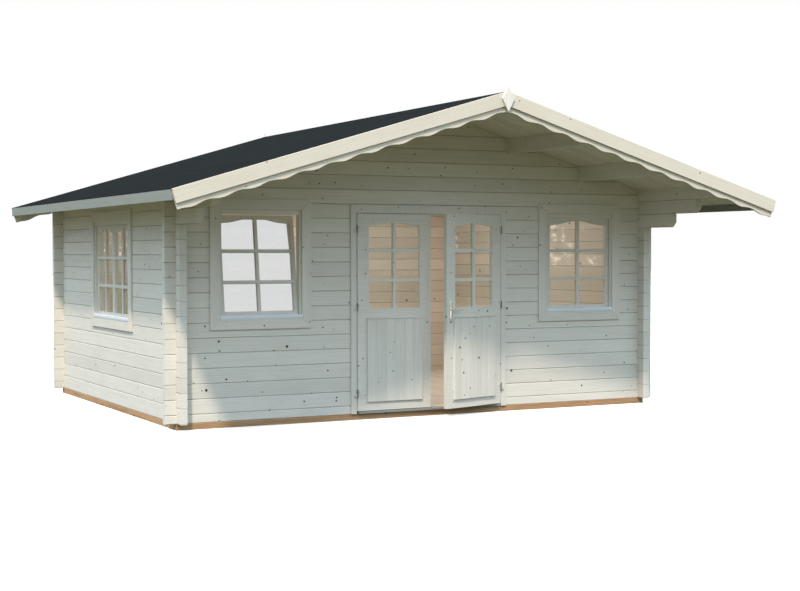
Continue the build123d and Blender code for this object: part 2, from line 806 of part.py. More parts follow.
# Hinge halves on the casing, each with its pin
with BuildPart() as hinge_pins:
    lower = hinge_length / 2
    plate_depth = leaf_proud - casing_thickness + hinge_plate_thickness
    plate_y = front_face - casing_thickness - plate_depth / 2
    for side in (-1, 1):
        pin_x, plate_x = [door_offset + side * (hinge_x + out) for out in (0, hinge_plate / 2)]
        for z in hinge_heights:
            barrel(side, z - lower / 2, lower, hinge_radius)
        with Locations(*[(pin_x, hinge_y, z) for z in hinge_heights]):
            Cylinder(hinge_pin_radius, hinge_length)
        with Locations(*[(plate_x, plate_y, z - lower / 2) for z in hinge_heights]):
            Box(hinge_plate, plate_depth, lower)
hinge_pins.part.label = "hinge_pins"
export_step(hinge_pins.part, "parts/hinge_pins.step")

# Handle plates on both faces of the right leaf, with a keyhole below the lever
with BuildPart() as closed_plates:
    for depth in (leaf_proud, leaf_proud - leaf_thickness - plate_thickness):
        with BuildSketch(door_front.offset(depth)):
            with Locations((handle_x, lever_height - plate_drop + plate_height / 2)):
                chamfer(Rectangle(plate_width, plate_height).vertices(), plate_chamfer)
            with Locations((handle_x, lever_height)):
                RegularPolygon(spindle_radius + pin_gap, barrel_sides, major_radius=False, mode=Mode.SUBTRACT)
            with Locations((handle_x, lever_height - key_drop)):
                Rectangle(keyhole_width, keyhole_height, mode=Mode.SUBTRACT)
        extrude(amount=plate_thickness)
handle_plates = turned(closed_plates.part, 1)
handle_plates.label = "handle_plates"
export_step(handle_plates, "parts/handle_plates.step")

# Lever on both faces, joined by its spindle
with BuildPart() as closed_lever:
    outer = leaf_proud + plate_thickness + seat
    inner = leaf_proud - leaf_thickness - plate_thickness - seat
    with BuildSketch(door_front.offset(inner - lever_stand)):
        with Locations((handle_x, lever_height)):
            Circle(spindle_radius)
    extrude(amount=outer - inner + 2 * lever_stand)
    for start, amount in ((outer, lever_stand), (inner, -lever_stand)):
        with BuildSketch(door_front.offset(start)):
            with Locations((handle_x, lever_height)):
                RegularPolygon(lever_radius, barrel_sides)
        extrude(amount=amount)
        with BuildSketch(door_front.offset(start + amount)):
            with Locations((handle_x + lever_length / 2 - lever_radius, lever_height)):
                chamfer(Rectangle(lever_length, 2 * lever_radius).vertices(), lever_radius / 2)
        extrude(amount=-amount / 4)
handle_lever = turned(closed_lever.part, 1)
handle_lever.label = "handle_lever"
export_step(handle_lever, "parts/handle_lever.step")
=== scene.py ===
import math
import random

import bpy
from mathutils import Matrix, Vector


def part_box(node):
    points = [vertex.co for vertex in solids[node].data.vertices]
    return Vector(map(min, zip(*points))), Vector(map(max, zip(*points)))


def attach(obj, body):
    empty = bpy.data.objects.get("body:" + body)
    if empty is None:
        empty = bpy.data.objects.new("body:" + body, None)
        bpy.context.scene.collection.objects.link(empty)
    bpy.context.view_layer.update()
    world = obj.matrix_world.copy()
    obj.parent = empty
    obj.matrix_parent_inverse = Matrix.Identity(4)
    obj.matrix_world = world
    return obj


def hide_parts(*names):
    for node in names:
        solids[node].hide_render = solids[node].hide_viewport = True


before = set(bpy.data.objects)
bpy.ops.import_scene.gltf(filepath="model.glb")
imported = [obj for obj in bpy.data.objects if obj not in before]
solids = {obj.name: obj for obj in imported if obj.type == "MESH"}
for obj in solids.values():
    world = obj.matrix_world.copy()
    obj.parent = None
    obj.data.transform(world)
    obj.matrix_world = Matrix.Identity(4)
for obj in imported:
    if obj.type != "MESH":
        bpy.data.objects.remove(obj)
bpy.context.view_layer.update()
scene = bpy.context.scene
print("frame loaded")

# Sizes in metres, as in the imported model
cabin = {
    "halfWidth": 2.540,
    "halfDepth": 1.975,
    "log": 0.070,
    "course": 0.135,
    "frontJoint": 0.1335,      # lowest joint of the front and back walls
    "sideJoint": 0.201,        # lowest joint of the side walls
    "pitch": math.radians(16.5),
    "ridge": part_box("roof_felt_left")[1].z,
    "roofHalf": 3.045,
}
door = {
    "middle": 0.008,
    "hingeReach": 0.785,       # from the middle of the doorway to each row of hinges
    "hinge": Vector((0.793, -2.008, 0)),
    "ajar": math.radians(18),
    "leafFace": -2.000,
    "leafMiddle": 0.3925,
    "stile": 0.120,
}
toHinge = Matrix.Translation(door["hinge"])
leafTurn = toHinge @ Matrix.Rotation(door["ajar"], 4, "Z") @ toHinge.inverted()
dice = random.Random(27)


# Shader wires


def colour(red, green, blue):                  # 0-255 as seen on screen
    return tuple(
        c / 12.92 if c <= 0.04045 else ((c + 0.055) / 1.055) ** 2.4
        for c in (red / 255, green / 255, blue / 255)
    ) + (1,)


class Wire:                                    # a node's output that takes plain arithmetic
    def __init__(self, tree, socket):
        self.tree, self.socket = tree, socket

    def out(self, name):
        return Wire(self.tree, self.socket.node.outputs[name])

    def sums(self, operation, *values):
        node = self.tree.nodes.new("ShaderNodeMath")
        node.operation = operation
        for socket, value in zip(node.inputs, values):
            if isinstance(value, Wire):
                self.tree.links.new(value.socket, socket)
            else:
                socket.default_value = value
        return Wire(self.tree, node.outputs[0])

    def __add__(self, other):
        return self.sums("ADD", self, other)

    def __radd__(self, other):
        return self.sums("ADD", other, self)

    def __sub__(self, other):
        return self.sums("SUBTRACT", self, other)

    def __rsub__(self, other):
        return self.sums("SUBTRACT", other, self)

    def __mul__(self, other):
        return self.sums("MULTIPLY", self, other)

    def __rmul__(self, other):
        return self.sums("MULTIPLY", other, self)

    def __truediv__(self, other):
        return self.sums("DIVIDE", self, other)

    def __pow__(self, other):
        return self.sums("POWER", self, other)

    def __lt__(self, other):
        return self.sums("LESS_THAN", self, other)

    def __gt__(self, other):
        return self.sums("GREATER_THAN", self, other)

    def __abs__(self):
        return self.sums("ABSOLUTE", self)

    def floor(self):
        return self.sums("FLOOR", self)

    def sine(self):
        return self.sums("SINE", self)

    def fade(self):                            # e to the power of the value
        return self.sums("EXPONENT", self)

    def most(self, other):
        return self.sums("MAXIMUM", self, other)

    def clamp(self):
        node = self.tree.nodes.new("ShaderNodeClamp")
        self.tree.links.new(self.socket, node.inputs[0])
        return Wire(self.tree, node.outputs[0])


class Finish:                                  # a material under construction
    def __init__(self, name, **plain):
        self.material = bpy.data.materials.new(name)
        self.material.use_nodes = True
        self.tree = self.material.node_tree
        self.surface = next(n for n in self.tree.nodes if n.type == "BSDF_PRINCIPLED")
        self.output = next(n for n in self.tree.nodes if n.type == "OUTPUT_MATERIAL")
        for name, value in plain.items():
            self.surface.inputs[name.replace("_", " ")].default_value = value

    def add(self, kind, settings=None, values=None, want=0):
        node = self.tree.nodes.new(kind)
        for key, value in (settings or {}).items():
            setattr(node, key, value)
        for key, value in (values or {}).items():
            if isinstance(value, Wire):
                self.tree.links.new(value.socket, node.inputs[key])
            else:
                node.inputs[key].default_value = value
        return Wire(self.tree, node.outputs[want])

    def feed(self, name, wire):
        self.tree.links.new(wire.socket, self.surface.inputs[name])

    def place(self):                           # x, y and z of the point, in metres
        spot = self.add("ShaderNodeTexCoord", want="Object")
        parts = self.add("ShaderNodeSeparateXYZ", values={0: spot})
        return parts.out("X"), parts.out("Y"), parts.out("Z")

    def point(self, x, y, z=0):
        return self.add("ShaderNodeCombineXYZ", values={0: x, 1: y, 2: z})

    def noise(self, where, scale=1, detail=2, rough=0.5):
        return self.add("ShaderNodeTexNoise", values={
            "Vector": where, "Scale": scale, "Detail": detail, "Roughness": rough})

    def chance(self, number):                  # a random value for each whole number
        return self.add("ShaderNodeTexWhiteNoise", {"noise_dimensions": "1D"}, {"W": number})

    def blend(self, share, first, second, kind="MIX"):
        return self.add("ShaderNodeMix", {"data_type": "RGBA", "blend_type": kind},
                        {0: share, 6: first, 7: second}, want=2)

    def scaled(self, tint, factor):
        return self.add("ShaderNodeVectorMath", {"operation": "SCALE"}, {0: tint, "Scale": factor})

    def bump(self, height, depth, strength=1):
        self.feed("Normal", self.add("ShaderNodeBump", values={
            "Strength": strength, "Distance": depth, "Height": height}))


# Wood finishes

paintedLook = {
    "pale": colour(226, 222, 211),
    "dark": colour(194, 189, 174),
    "knot": colour(66, 52, 42),
    "rim": colour(170, 156, 132),
    "rings": 0.28,
    "streaks": 0.85,
    "blotch": 0.38,
    "knotShare": 0.75,
    "knotSize": 0.0085,
    "knotShow": 1.0,
    "spread": 0.05,
}
# a darker grey copy of the paint, worn by the eave fascias and the door threshold
fasciaLook = dict(paintedLook, pale=colour(142, 147, 140), dark=colour(120, 125, 118))
bargeLook = dict(paintedLook, pale=colour(216, 208, 191), dark=colour(190, 180, 158))
sillLook = dict(paintedLook, pale=colour(232, 236, 240), dark=colour(214, 220, 226), knotShare=0.0)
naturalLook = {
    "pale": colour(232, 222, 208),
    "dark": colour(210, 190, 168),
    "knot": colour(112, 76, 54),
    "rim": colour(180, 142, 110),
    "rings": 0.60,
    "streaks": 0.70,
    "blotch": 0.15,
    "knotShare": 0.62,
    "knotSize": 0.013,
    "knotShow": 1.0,
    "spread": 0.08,
}
treatedLook = {
    "pale": colour(206, 166, 124),
    "dark": colour(150, 108, 72),
    "knot": colour(84, 54, 34),
    "rim": colour(120, 78, 46),
    "rings": 0.55,
    "streaks": 1.2,
    "blotch": 0.8,
    "knotShare": 0.85,
    "knotSize": 0.015,
    "knotShow": 0.9,
    "spread": 0.14,
}
jointLine = {"from": 0.474, "rise": 60, "depth": 0.38}    # shade in the joints, in shares of a course
knotPitch = 0.62                               # metres of log to each place a knot may be
skin = 0.0005                                  # play in the test whether a point faces the room
faceDepth = 0.005                              # points this close to a wall's outer face take its knots

# The plainest knots of the front and of the left wall: along the wall, height and radius in mm
frontKnots = (
    (-2260, 344, 11), (-1480, 712, 11), (930, 398, 11), (-2140, 777, 9), (-2070, 434, 8),
    (1770, 213, 8), (1000, 1717, 8), (880, 1015, 8), (-980, 220, 7), (-1310, 199, 7),
    (-1070, 476, 7), (2300, 428, 7), (-2270, 915, 7), (870, 876, 7), (940, 2399, 6),
    (-1120, 877, 6), (130, 2311, 6), (2340, 977, 6), (870, 1964, 6), (-1150, 2208, 6),
    (-990, 2220, 6), (180, 2389, 5), (-1180, 2327, 7), (1760, 2207, 5), (510, 2222, 5),
    (-2330, 1405, 5), (1190, 719, 5), (-1070, 1729, 5), (1130, 1927, 5),
    (-690, 1598, 5), (-690, 1373, 6), (-730, 1121, 5), (-720, 576, 6), (-690, 232, 4),
    (-410, 448, 6), (-400, 726, 4), (-210, 359, 5), (860, 1879, 6), (860, 1958, 5),
    (-780, 1576, 4), (-780, 1352, 5), (-730, 1974, 5), (-340, 1998, 5), (320, 1996, 6),
    (530, 1944, 4), (620, 2018, 5), (870, 1021, 7), (860, 883, 5), (400, 855, 6),
    (210, 663, 9), (240, 544, 6), (470, 551, 9), (260, 419, 8), (350, 264, 6), (270, 202, 5),
    (130, 242, 4), (790, 470, 6), (480, 1009, 6), (600, 999, 8), (110, 567, 5),
)
sideKnots = (
    (-1580, 931, 10), (610, 409, 9), (-80, 446, 9), (-1090, 1461, 9), (1460, 1356, 7),
    (-1150, 1797, 7), (-960, 1319, 6), (-1330, 219, 6), (-840, 289, 6), (1330, 1790, 6),
)


def plainKnots(finish):                        # 1 at the middle of a listed knot, 0 at its edge
    x, y, z = finish.place()
    near = None
    for knots, along, gate in (
        (frontKnots, x, y < -cabin["halfDepth"] + faceDepth),
        (sideKnots, y, x < -cabin["halfWidth"] + faceDepth),
    ):
        flat = finish.point(along, z)
        wall = None
        for place, height, radius in knots:
            away = finish.add("ShaderNodeVectorMath", {"operation": "DISTANCE"}, {
                0: flat, 1: (place / 1000, height / 1000, 0)}, want="Value")
            mark = 1 - away / (radius / 1000)
            wall = wall.most(mark) if wall else mark
        shown = (wall + 2).most(0) * gate - 2
        near = near.most(shown) if near else shown
    return near


def woodGrain(finish, along, across, depth, piece, look, near=None):
    # streaks, growth rings that bow round knots, and the knots themselves
    streak = finish.noise(
        finish.point(along * 2.1 + piece * 41, across * 44 + piece * 83, depth * 44), 1, 5, 0.62)
    fibre = finish.noise(finish.point(along * 16 + piece * 7, across * 560, depth * 560), 1, 2, 0.5)
    bend = finish.noise(
        finish.point(along * 0.8 + piece * 23, across * 5.5 + piece * 3, depth * 5.5), 1, 2, 0.4)
    u = along / knotPitch + piece * 61
    v = across / cabin["course"]
    cell = finish.add("ShaderNodeTexVoronoi", {"voronoi_dimensions": "2D"}, {
        "Vector": finish.point(u, v), "Scale": 1, "Randomness": 0.92})
    spot = finish.add("ShaderNodeSeparateXYZ", values={0: cell.out("Position")})
    luck = finish.add("ShaderNodeSeparateColor", values={0: cell.out("Color")})
    aside = (u - spot.out("X")) * knotPitch
    above = (v - spot.out("Y")) * cabin["course"]
    away = (aside * aside + above * above * 1.3) ** 0.5
    size = (luck.out("Red") * 0.65 + 0.35) * look["knotSize"]
    present = luck.out("Green") < look["knotShare"]
    core = ((size - away) / (size * 0.3) + 0.5).clamp() * present
    rim = ((size * 1.7 - away) / (size * 0.6)).clamp() * present
    deep = core * (luck.out("Blue") * 0.45 + 0.55)
    if near:
        deep = deep.most((near * 3 + 0.6).clamp())
        rim = rim.most((near * 1.5 + 1.2).clamp())
    bow = (away / size * -0.45).fade() * present
    ring = ((across * 62 + bend * 3.4 + bow * 1.4) * 6.283).sine() * 0.5 + 0.5
    cloud = finish.noise(
        finish.point(along * 2.6 + piece * 13, across * 7, depth * 7 + piece * 29), 1, 3, 0.6)
    shade = (ring ** 2.2) * look["rings"] + (streak - 0.46) * look["streaks"] + (fibre - 0.5) * 0.25
    shade = shade + (cloud - 0.45) * look["blotch"]
    tint = finish.blend(shade.clamp(), look["pale"], look["dark"])
    tint = finish.blend(rim * 0.5, tint, look["rim"])
    tint = finish.blend(deep * look["knotShow"], tint, look["knot"])
    tint = finish.scaled(tint, 1 + (piece - 0.5) * look["spread"] * 2)
    height = fibre * 0.35 + streak * 0.5 - ring * 0.12 - deep * 0.5
    return tint, height


def indoors(finish):                           # 1 inside the room, 0 outside
    x, y = finish.place()[:2]
    acrossRoom = abs(x) < cabin["halfWidth"] - cabin["log"] + skin
    alongRoom = abs(y) < cabin["halfDepth"] - cabin["log"] + skin
    return acrossRoom * alongRoom


def woodFinish(name, pattern, outdoor, indoor=None, rough=0.62, relief=0.0006, listed=False, jointed=False):
    finish = Finish(name)
    finish.surface.inputs["Specular IOR Level"].default_value = 0.3
    grain = pattern(finish)
    tint, height = woodGrain(finish, *grain, outdoor, plainKnots(finish) if listed else None)
    # painted shade along the joints between the logs
    if jointed:
        course = grain[1] / cabin["course"]
        off = abs(course - course.floor() - 0.5)
        shade = ((off - jointLine["from"]) * jointLine["rise"]).clamp() * jointLine["depth"]
        tint = finish.scaled(tint, 1 - shade)
    if indoor:
        inside = woodGrain(finish, *grain, indoor)[0]
        tint = finish.blend(indoors(finish), tint, inside)
    finish.feed("Base Color", tint)
    finish.feed("Roughness", height * 0.12 + rough)
    finish.bump(height, relief)
    return finish


def logPattern(axis, lowJoint):                # each log has its own grain and tone
    def read(finish):
        x, y, z = finish.place()
        along, depth = (x, y) if axis == "X" else (y, x)
        across = z - lowJoint
        course = (across / cabin["course"]).floor()
        side = (depth > 0) * 50
        return along, across, depth, finish.chance(course + side + 3)
    return read


def boardPattern(finish):                      # from the board's own map and tone
    grain = finish.add("ShaderNodeUVMap", {"uv_map": "grain"})
    parts = finish.add("ShaderNodeSeparateXYZ", values={0: grain})
    tone = finish.add("ShaderNodeAttribute", {"attribute_name": "tone"}, want="Fac")
    return parts.out("X"), parts.out("Y"), parts.out("Y") * 0.3, tone


acrossLogs, deepLogs = logPattern("X", cabin["frontJoint"]), logPattern("Y", cabin["sideJoint"])
logsOnly = {"listed": True, "jointed": True}
finishes = {
    "frontLogs": woodFinish("paintedLogsAcross", acrossLogs, paintedLook, naturalLook, **logsOnly),
    "sideLogs": woodFinish("paintedLogsDeep", deepLogs, paintedLook, naturalLook, **logsOnly),
    "painted": woodFinish("paintedBoards", boardPattern, paintedLook, listed=True),
    "fascia": woodFinish("paintedFascias", boardPattern, fasciaLook),
    "barge": woodFinish("paintedBargeboards", boardPattern, bargeLook),
    "sill": woodFinish("sillBoards", boardPattern, sillLook, rough=0.22),
    "roofWood": woodFinish("paintedRoofBoards", boardPattern, paintedLook, naturalLook),
    "natural": woodFinish("naturalBoards", boardPattern, naturalLook),
    "treated": woodFinish("treatedBeams", boardPattern, treatedLook, rough=0.75),
    "hingePaint": woodFinish("paintedPlates", boardPattern, dict(paintedLook, knotShare=0.0), rough=0.45),
}


felt = {
    "thickness": 0.003,
    "base": 0.0022,
    "sheet": 0.0018,
    "step": 0.0006,            # what one roll stands above the next
    "roll": 1.0,
    "lap": 0.08,
    "lapLine": 0.012,          # dark line at a lap, as a share of the roll, and how dark it is
    "lapShade": 0.55,
}
feltRoll = felt["roll"] * math.cos(cabin["pitch"])     # both as seen in plan
feltStep = (felt["roll"] - felt["lap"]) * math.cos(cabin["pitch"])


def feltFinish():
    finish = Finish("roofingFelt")
    x, y, z = finish.place()
    where = finish.point(x, y, z)
    grit = finish.noise(where, 900, 2, 0.7)
    patch = finish.noise(where, 2.2, 4, 0.6)
    stain = finish.noise(finish.point(x * 1.5, y * 9, z), 1, 3, 0.5)
    tint = finish.blend((grit * 0.8 + patch * 0.5 - 0.2).clamp(), colour(9, 15, 17), colour(22, 30, 32))
    tint = finish.blend(((stain - 0.5) * 0.9).clamp(), tint, colour(40, 45, 46))
    rows = (cabin["roofHalf"] - abs(x)) / feltStep
    tint = finish.scaled(tint, 1 - (rows - rows.floor() < felt["lapLine"]) * (rows > 0.5) * felt["lapShade"])
    finish.surface.inputs["Specular IOR Level"].default_value = 0.04
    finish.feed("Base Color", tint)
    finish.feed("Roughness", grit * 0.15 + 0.8)
    finish.bump(grit * 0.6 + patch, 0.0012)
    return finish


white = (1, 1, 1, 1)
glazing = {
    "tint": (0.93, 0.95, 0.94, 1),
    "rough": 0.02,
    "bend": 1.5,               # index of refraction
    "paintedSkyReflection": 0.62,          # painted reflection: a fixed extra share of mirror on the tilted pane, which faces the open sky
    "tiltedTo": -1.2,          # its place: left of this, and between these two depths
    "tiltedDepths": (0.015, 0.3),
}


def glassFinish():
    finish = Finish("windowGlass")
    clear = finish.add("ShaderNodeBsdfTransparent", values={0: glazing["tint"]})
    shine = finish.add("ShaderNodeBsdfAnisotropic", values={"Color": white, "Roughness": glazing["rough"]})
    x, y, z = finish.place()
    ripple = finish.noise(finish.point(x, y, z), 1.3, 1, 0.4)
    film = finish.noise(finish.point(x * 3, y * 3, z * 2), 4, 3, 0.6)
    normal = finish.add("ShaderNodeBump", values={"Strength": 0.25, "Distance": 0.004, "Height": ripple})
    finish.tree.links.new(normal.socket, shine.socket.node.inputs["Normal"])
    facing = 1 - finish.add("ShaderNodeNewGeometry", want="Backfacing")
    edge = finish.add("ShaderNodeFresnel", values={"IOR": glazing["bend"]}) * facing
    near, deep = (depth - cabin["halfDepth"] for depth in glazing["tiltedDepths"])
    # painted reflection: the tilted pane takes more mirror, chosen by its place
    tilted = (y < deep) * (x < glazing["tiltedTo"]) * (y > near)
    share = (edge * 1.1 + film * 0.05 + tilted * glazing["paintedSkyReflection"]).clamp()
    both = finish.add("ShaderNodeMixShader", values={0: share, 1: clear, 2: shine})
    finish.tree.links.new(both.socket, finish.output.inputs["Surface"])
    return finish


def metalFinish(name, bright, dull, rough, metallic=1.0):
    finish = Finish(name, Metallic=metallic)
    x, y, z = finish.place()
    worn = finish.noise(finish.point(x, y, z), 60, 4, 0.6)
    brush = finish.noise(finish.point(x * 40, y * 40, z * 900), 1, 2, 0.5)
    finish.feed("Base Color", finish.blend((worn * 0.7 + brush * 0.3 - 0.1).clamp(), bright, dull))
    finish.feed("Roughness", brush * 0.15 + rough)
    finish.bump(brush, 0.0001)
    return finish


finishes["felt"] = feltFinish()
finishes["glass"] = glassFinish()
finishes["steel"] = metalFinish("dullSteel", colour(150, 153, 150), colour(118, 121, 118), 0.42, 0.5)
finishes["chrome"] = metalFinish("brightHandle", colour(254, 254, 252), colour(244, 245, 245), 0.10)
# dark steel for the plate screws; on the key slot it is painted shade
finishes["slot"] = metalFinish("darkScrewsAndKeyholeShade", colour(70, 70, 68), colour(44, 43, 42), 0.5)
print("finishes made")


# Modelling helpers


def pick(*things):
    if bpy.context.mode != "OBJECT":
        bpy.ops.object.mode_set(mode="OBJECT")
    bpy.ops.object.select_all(action="DESELECT")
    for thing in things:
        thing.select_set(True)
    bpy.context.view_layer.objects.active = things[0] if things else None


def wear(piece, finish):
    piece.data.materials.clear()
    piece.data.materials.append(finishes[finish].material)


def settle(piece):                             # the piece's place goes into its mesh
    pick(piece)
    bpy.ops.object.transform_apply(location=True, rotation=True, scale=True)


def modify(piece, kind, **settings):
    pick(piece)
    modifier = piece.modifiers.new(kind.lower(), kind)
    for key, value in settings.items():
        setattr(modifier, key, value)
    bpy.ops.object.modifier_apply(modifier=modifier.name)


def soften(piece, width, segments=1, angle=32):
    modify(piece, "BEVEL", width=width, segments=segments, limit_method="ANGLE",
           angle_limit=math.radians(angle), harden_normals=False, use_clamp_overlap=True)


def smooth(piece, angle=35):
    pick(piece)
    bpy.ops.object.shade_smooth_by_angle(angle=math.radians(angle))


def chooseEdges(piece, test):                  # edges whose two ends pass the test
    pick(piece)
    bpy.ops.object.mode_set(mode="EDIT")
    bpy.ops.mesh.select_all(action="DESELECT")
    bpy.ops.mesh.select_mode(type="EDGE")
    bpy.ops.object.mode_set(mode="OBJECT")
    points = piece.data.vertices
    for edge in piece.data.edges:
        edge.select = test(points[edge.vertices[0]].co, points[edge.vertices[1]].co)
    bpy.ops.object.mode_set(mode="EDIT")


def chooseFaces(piece, test):                  # faces whose middle and normal pass the test
    pick(piece)
    bpy.ops.object.mode_set(mode="EDIT")
    bpy.ops.mesh.select_all(action="DESELECT")
    bpy.ops.mesh.select_mode(type="FACE")
    bpy.ops.object.mode_set(mode="OBJECT")
    for face in piece.data.polygons:
        face.select = test(face.center, face.normal)
    bpy.ops.object.mode_set(mode="EDIT")


def block(name, low, high):                    # a cube primitive stretched between two corners
    pick()
    low, high = Vector(low), Vector(high)
    bpy.ops.mesh.primitive_cube_add(size=1, location=(low + high) / 2)
    piece = bpy.context.object
    piece.name = name
    piece.scale = high - low
    settle(piece)
    return piece


def rod(name, start, end, radius, sides=24):
    pick()
    start, end = Vector(start), Vector(end)
    bpy.ops.mesh.primitive_cylinder_add(vertices=sides, radius=radius, depth=(end - start).length,
                                        location=(start + end) / 2)
    piece = bpy.context.object
    piece.name = name
    piece.rotation_mode = "QUATERNION"
    piece.rotation_quaternion = (end - start).to_track_quat("Z", "Y")
    settle(piece)
    return piece


def twin(piece, shift=(0, 0, 0), turn=None):   # a copy with its own mesh
    pick()
    other = piece.copy()
    other.data = piece.data.copy()
    scene.collection.objects.link(other)
    if turn:
        other.matrix_world = turn @ other.matrix_world
    other.location = other.location + Vector(shift)
    settle(other)
    return other


def turned(piece, matrix):
    piece.matrix_world = matrix @ piece.matrix_world
    settle(piece)
    return piece


def joined(name, pieces):
    pick(*pieces)
    if len(pieces) > 1:
        bpy.ops.object.join()
    piece = bpy.context.view_layer.objects.active
    piece.name = piece.data.name = name
    return piece


grainSpread = 40                               # each board starts at its own place of the grain


def markGrain(piece, axis=None, turn=None, stile=0):
    # lays the grain along a board: u runs with it and v across, and each board has a tone
    mesh = piece.data
    layer = mesh.uv_layers.get("grain") or mesh.uv_layers.new(name="grain")
    mesh.uv_layers.active = layer
    tone = mesh.attributes.get("tone") or mesh.attributes.new("tone", "FLOAT", "POINT")
    back = turn.inverted() if turn else Matrix.Identity(4)
    spin = back.to_3x3()
    points = [back @ v.co for v in mesh.vertices]
    low = [min(p[i] for p in points) for i in range(3)]
    high = [max(p[i] for p in points) for i in range(3)]
    sides = [high[i] - low[i] for i in range(3)]
    longest = axis if axis is not None else sides.index(max(sides))
    thin = sides.index(min(sides))
    offset = (dice.uniform(0, grainSpread), dice.uniform(0, grainSpread))
    for face in mesh.polygons:
        normal = spin @ face.normal
        middle = back @ face.center
        grain = longest
        if stile:
            level = next(i for i in (0, 1) if i != thin)
            nearSide = min(middle[level] - low[level], high[level] - middle[level]) < stile
            grain = 2 if nearSide else level
        facing = max(range(3), key=lambda i: abs(normal[i]))
        if facing == grain:
            grain = next(i for i in (2, 0, 1) if i != facing)
        cross = 3 - grain - facing
        for loop in face.loop_indices:
            p = points[mesh.loops[loop].vertex_index]
            layer.data[loop].uv = (p[grain] + offset[0], p[cross] + offset[1])
    value = dice.random()
    for entry in tone.data:
        entry.value = value
    return piece


def dressed(node, name, body, finish, edge=0.002, axis=None, turn=None, stile=0, segments=2):
    # a merged copy of a CAD node, split into its boards, with softened edges
    pick()
    piece = bpy.data.objects.new(name, solids[node].data.copy())
    scene.collection.objects.link(piece)
    pick(piece)
    bpy.ops.object.mode_set(mode="EDIT")
    bpy.ops.mesh.select_all(action="SELECT")
    bpy.ops.mesh.remove_doubles(threshold=0.00003)
    bpy.ops.mesh.dissolve_limited(angle_limit=math.radians(0.5))
    bpy.ops.mesh.select_all(action="SELECT")
    bpy.ops.mesh.separate(type="LOOSE")
    bpy.ops.object.mode_set(mode="OBJECT")
    boards = list(bpy.context.selected_objects)
    boards.sort(key=lambda b: tuple(round(c, 3) for c in b.data.vertices[0].co))
    for board in boards:
        if edge:
            soften(board, edge, segments)
        markGrain(board, axis, turn, stile)
    piece = joined(name, boards)
    wear(piece, finish)
    return keep(piece, body, node)


def keep(piece, body, *nodes, slot=None):      # a finished piece takes its place
    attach(piece, body)
    if nodes:
        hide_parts(*nodes)
    return piece


# Carried-over solids

for node in ("front_wall_left", "front_wall_right", "front_gable", "back_wall", "back_gable"):
    wear(solids[node], "frontLogs")
for node in ("left_wall", "right_wall"):
    wear(solids[node], "sideLogs")
for node in ("window_glass", "door_glass_left", "door_glass_right"):
    wear(solids[node], "glass")

painted = "painted_wood"
sashStile = 0.037
for node, name, edge, finish in (
    ("window_frames", "windowFrames", 0.002, "painted"),
    ("window_casings", "windowCasings", 0.003, "painted"),
    ("window_sills", "windowSills", 0.004, "sill"),
    ("door_frame", "doorFrame", 0.002, "painted"),
    ("door_casing", "doorCasing", 0.003, "painted"),
    ("eave_fascias", "eaveFascias", 0.002, "fascia"),
    ("door_threshold", "doorThreshold", 0.003, "fascia"),
    ("finials", "finialStars", 0.002, "painted"),
):
    dressed(node, name, "cabin", finish, edge)
for node, name in (
    ("front_left_sash", "frontLeftSash"), ("front_right_sash", "frontRightSash"),
    ("side_window_sashes", "sideSashes"),
):
    dressed(node, name, "cabin", "painted", 0.002, stile=sashStile)
for side, end in ((-1, "left"), (1, "right")):
    slope = Matrix.Rotation(side * cabin["pitch"], 4, "Y")
    for node, name, edge in (
        ("bargeboards", "Bargeboards", 0.003), ("scalloped_boards", "ScallopedBoards", 0.002),
    ):
        dressed(f"{end}_{node}", f"{end}{name}", "cabin", "barge", edge, 0, slope)
dressed("door_leaf_left", "leftLeaf", "left_leaf", "painted", 0.002, stile=door["stile"])
dressed("door_leaf_right", "rightLeaf", "right_leaf", "painted", 0.002, turn=leafTurn,
                stile=door["stile"])
for node, name, edge in (
    ("window_inner_casings", "windowInnerCasings", 0.003), ("door_inner_casing", "doorInnerCasing", 0.003),
):
    dressed(node, name, "cabin", "natural", edge)
dressed("purlins", "roofPurlins", "cabin", "roofWood", 0.003)
for node, name in (("foundation_side_beams", "sideBeams"), ("foundation_cross_joists", "crossJoists")):
    dressed(node, name, "cabin", "treated", 0.003)
print("carried-over pieces dressed")


# Floor planks

floor = {"width": 0.095, "groove": 0.003}
hair = 0.0002                                  # half the open joint between two planks


def makeFloor():
    low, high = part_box("floor_boards")
    count = round((high.x - low.x) / floor["width"])
    width = (high.x - low.x) / count
    planks = []
    for i in range(count):
        left = low.x + i * width
        plank = block(f"floorPlank{i}", (left + hair, low.y, low.z), (left + width - hair, high.y, high.z))
        chooseEdges(plank, lambda a, b: min(a.z, b.z) > high.z - 0.001 and abs(a.x - b.x) < 0.001)
        bpy.ops.mesh.bevel(offset=floor["groove"], segments=1)
        bpy.ops.object.mode_set(mode="OBJECT")
        planks.append(markGrain(plank, 1))
    piece = joined("floorPlanks", planks)
    wear(piece, "natural")
    keep(piece, "cabin", "floor_boards", slot="natural_wood")


makeFloor()
print("floor laid")


# Roof boards and felt

roofing = {
    "board": 0.0885,
    "groove": 0.004,
    "thickness": 0.019,
    "spare": 0.02,             # past both ends before they are cut plumb
}


